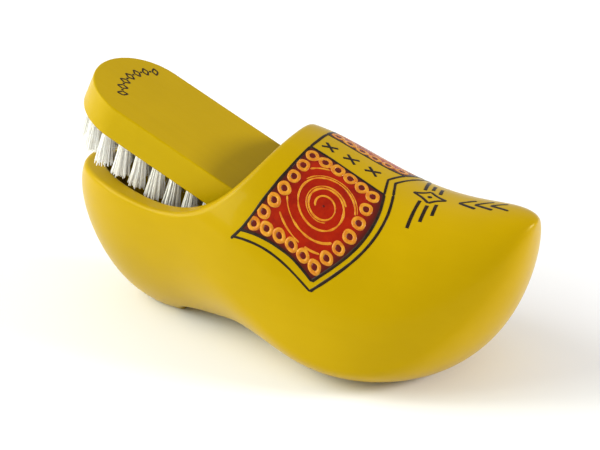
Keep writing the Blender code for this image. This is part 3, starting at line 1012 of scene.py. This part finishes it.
def nylon():
    """White nylon, a little translucent, cooler or warmer from one tuft to the next."""
    made, nodes, links, shader = material("bristle_nylon", (0.95, 0.95, 0.94), 0.38)
    shader.inputs["Specular IOR Level"].default_value = 0.6
    shader.inputs["Subsurface Weight"].default_value = 0.25
    shader.inputs["Subsurface Radius"].default_value = (0.002, 0.002, 0.0018)
    shader.inputs["Subsurface Scale"].default_value = 0.5
    waver = ranged(nodes, links, noise(nodes, links, 500, 3), 0.35, 0.65)
    colour = mixed(nodes, links, waver, (0.98, 0.98, 0.97), (0.92, 0.90, 0.85))
    links.new(colour, shader.inputs["Base Color"])
    bumped(nodes, links, shader, (noise(nodes, links, 1500, 2), 0.00002))
    return made


def make_arc_motif():
    """Plain arc of lozenges and dots painted across the block's rear end."""
    draws = np.random.default_rng(5)
    centre = np.array(MOTIF_CENTRE)
    long, wide = MOTIF_LOZENGE
    shapes = []
    for i in range(MOTIF_COUNT):
        angle = MOTIF_HALF_ANGLE * (2 * i / (MOTIF_COUNT - 1) - 1)
        out = np.array((-math.cos(angle), math.sin(angle)))
        round_ = np.array((math.sin(angle), math.cos(angle)))
        at = centre + out * MOTIF_RADIUS
        if i % 2:
            shapes.append(ring_shape(at, 0, MOTIF_DOT, draws, 20))
            continue
        tips = [at + out * long, at + round_ * wide, at - out * long, at - round_ * wide]
        for a, b in zip(tips, tips[1:] + tips[:1]):
            shapes.append(stroke([a, b], MOTIF_LINE, 0.25 * MM, 0.08, draws))

    def place(flat):
        flat3 = np.concatenate([flat, np.zeros((len(flat), 1))], 1)
        points = np.array([BRUSH_FRAME @ Vector(p) for p in flat3])
        normal = np.array(BRUSH_FRAME.to_3x3() @ Vector((0, 0, 1)))
        return points, np.tile(normal, (len(flat), 1))

    flat, faces = joined([facing_out(s) for s in shapes])
    faces = [face[::-1] for face in faces]
    piece = film("block_arc_motif", flat, faces, 0.05 * MM, place)
    piece.data.materials.append(ink("motif_black", (0.05, 0.03, 0.01), (0.02, 0.012, 0.006), 0.4))
    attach(piece, "brush")


# ---------------------------------------------------------------- camera, light and floor

FLOOR_HALF = 4
# name, place, the point it faces, size, watts, colour
SOFT_BOXES = (("key_box", (-1.0, -0.8, 0.62), (0, 0, 0.05), 0.8, 13, (0.94, 1.0, 0.84)),
              ("side_box", (1.1, 0.30, 0.50), (0.05, 0, 0.05), 0.35, 11, (1, 0.96, 0.94)),
              ("top_box", (-1.15, -0.35, 0.95), (-0.05, 0, 0.05), 0.9, 13, (1, 0.98, 0.92)))


def aim(obj, at):
    """Turn a camera or light to face a point."""
    obj.rotation_euler = (at - obj.location).to_track_quat("-Z", "Y").to_euler()


def area_light(name, place, at, size, power, colour):
    """Square soft box in the scene, facing a point."""
    data = bpy.data.lights.new(name, "AREA")
    data.shape = "SQUARE"
    data.size = size
    data.energy = power
    data.color = colour
    light = bpy.data.objects.new(name, data)
    bpy.context.scene.collection.objects.link(light)
    light.location = place
    aim(light, Vector(at))
    return light


def make_studio():
    """Pale floor under the clog, three soft boxes and an even surround."""
    corners = [(sx * FLOOR_HALF, sy * FLOOR_HALF, 0) for sx, sy in ((-1, -1), (1, -1), (1, 1), (-1, 1))]
    floor = mesh_object("studio_floor", corners, [(0, 1, 2, 3)], False)
    made, nodes, links, shader = material("studio_floor", (0.95, 0.95, 0.95), 0.7)
    tone = ranged(nodes, links, noise(nodes, links, 3, 2), 0.3, 0.7)
    links.new(mixed(nodes, links, tone, (0.90, 0.93, 0.98), (0.92, 0.94, 0.99)), shader.inputs["Base Color"])
    floor.data.materials.append(made)
    world = bpy.data.worlds.new("studio")
    world.use_nodes = True
    background = world.node_tree.nodes["Background"]
    background.inputs["Color"].default_value = (1, 0.98, 0.93, 1)
    background.inputs["Strength"].default_value = 0.5
    bpy.context.scene.world = world
    for box in SOFT_BOXES:
        area_light(*box)


def make_camera():
    """Camera at its distance and angles round the target."""
    data = bpy.data.cameras.new("camera")
    data.lens = CAMERA_LENS
    data.sensor_width = 36
    data.clip_start = 0.01
    camera = bpy.data.objects.new("camera", data)
    bpy.context.scene.collection.objects.link(camera)
    a, e = CAMERA_AZIMUTH, CAMERA_ELEVATION
    out = Vector((math.sin(a) * math.cos(e), -math.cos(a) * math.cos(e), math.sin(e)))
    camera.location = CAMERA_TARGET + out * CAMERA_DISTANCE
    aim(camera, CAMERA_TARGET)
    bpy.context.scene.camera = camera


shell = make_shell()
shell.data.materials.append(clog_lacquer())
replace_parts(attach(shell, "clog"), "clog_body")
make_decoration()
make_block(block_lacquer())
white = nylon()
for number, (name, x, y) in enumerate(tuft_places()):
    make_tuft(name, x, y, white, np.random.default_rng(100 + number))
make_arc_motif()
make_studio()
make_camera()
bpy.context.scene.view_settings.view_transform = "Standard"
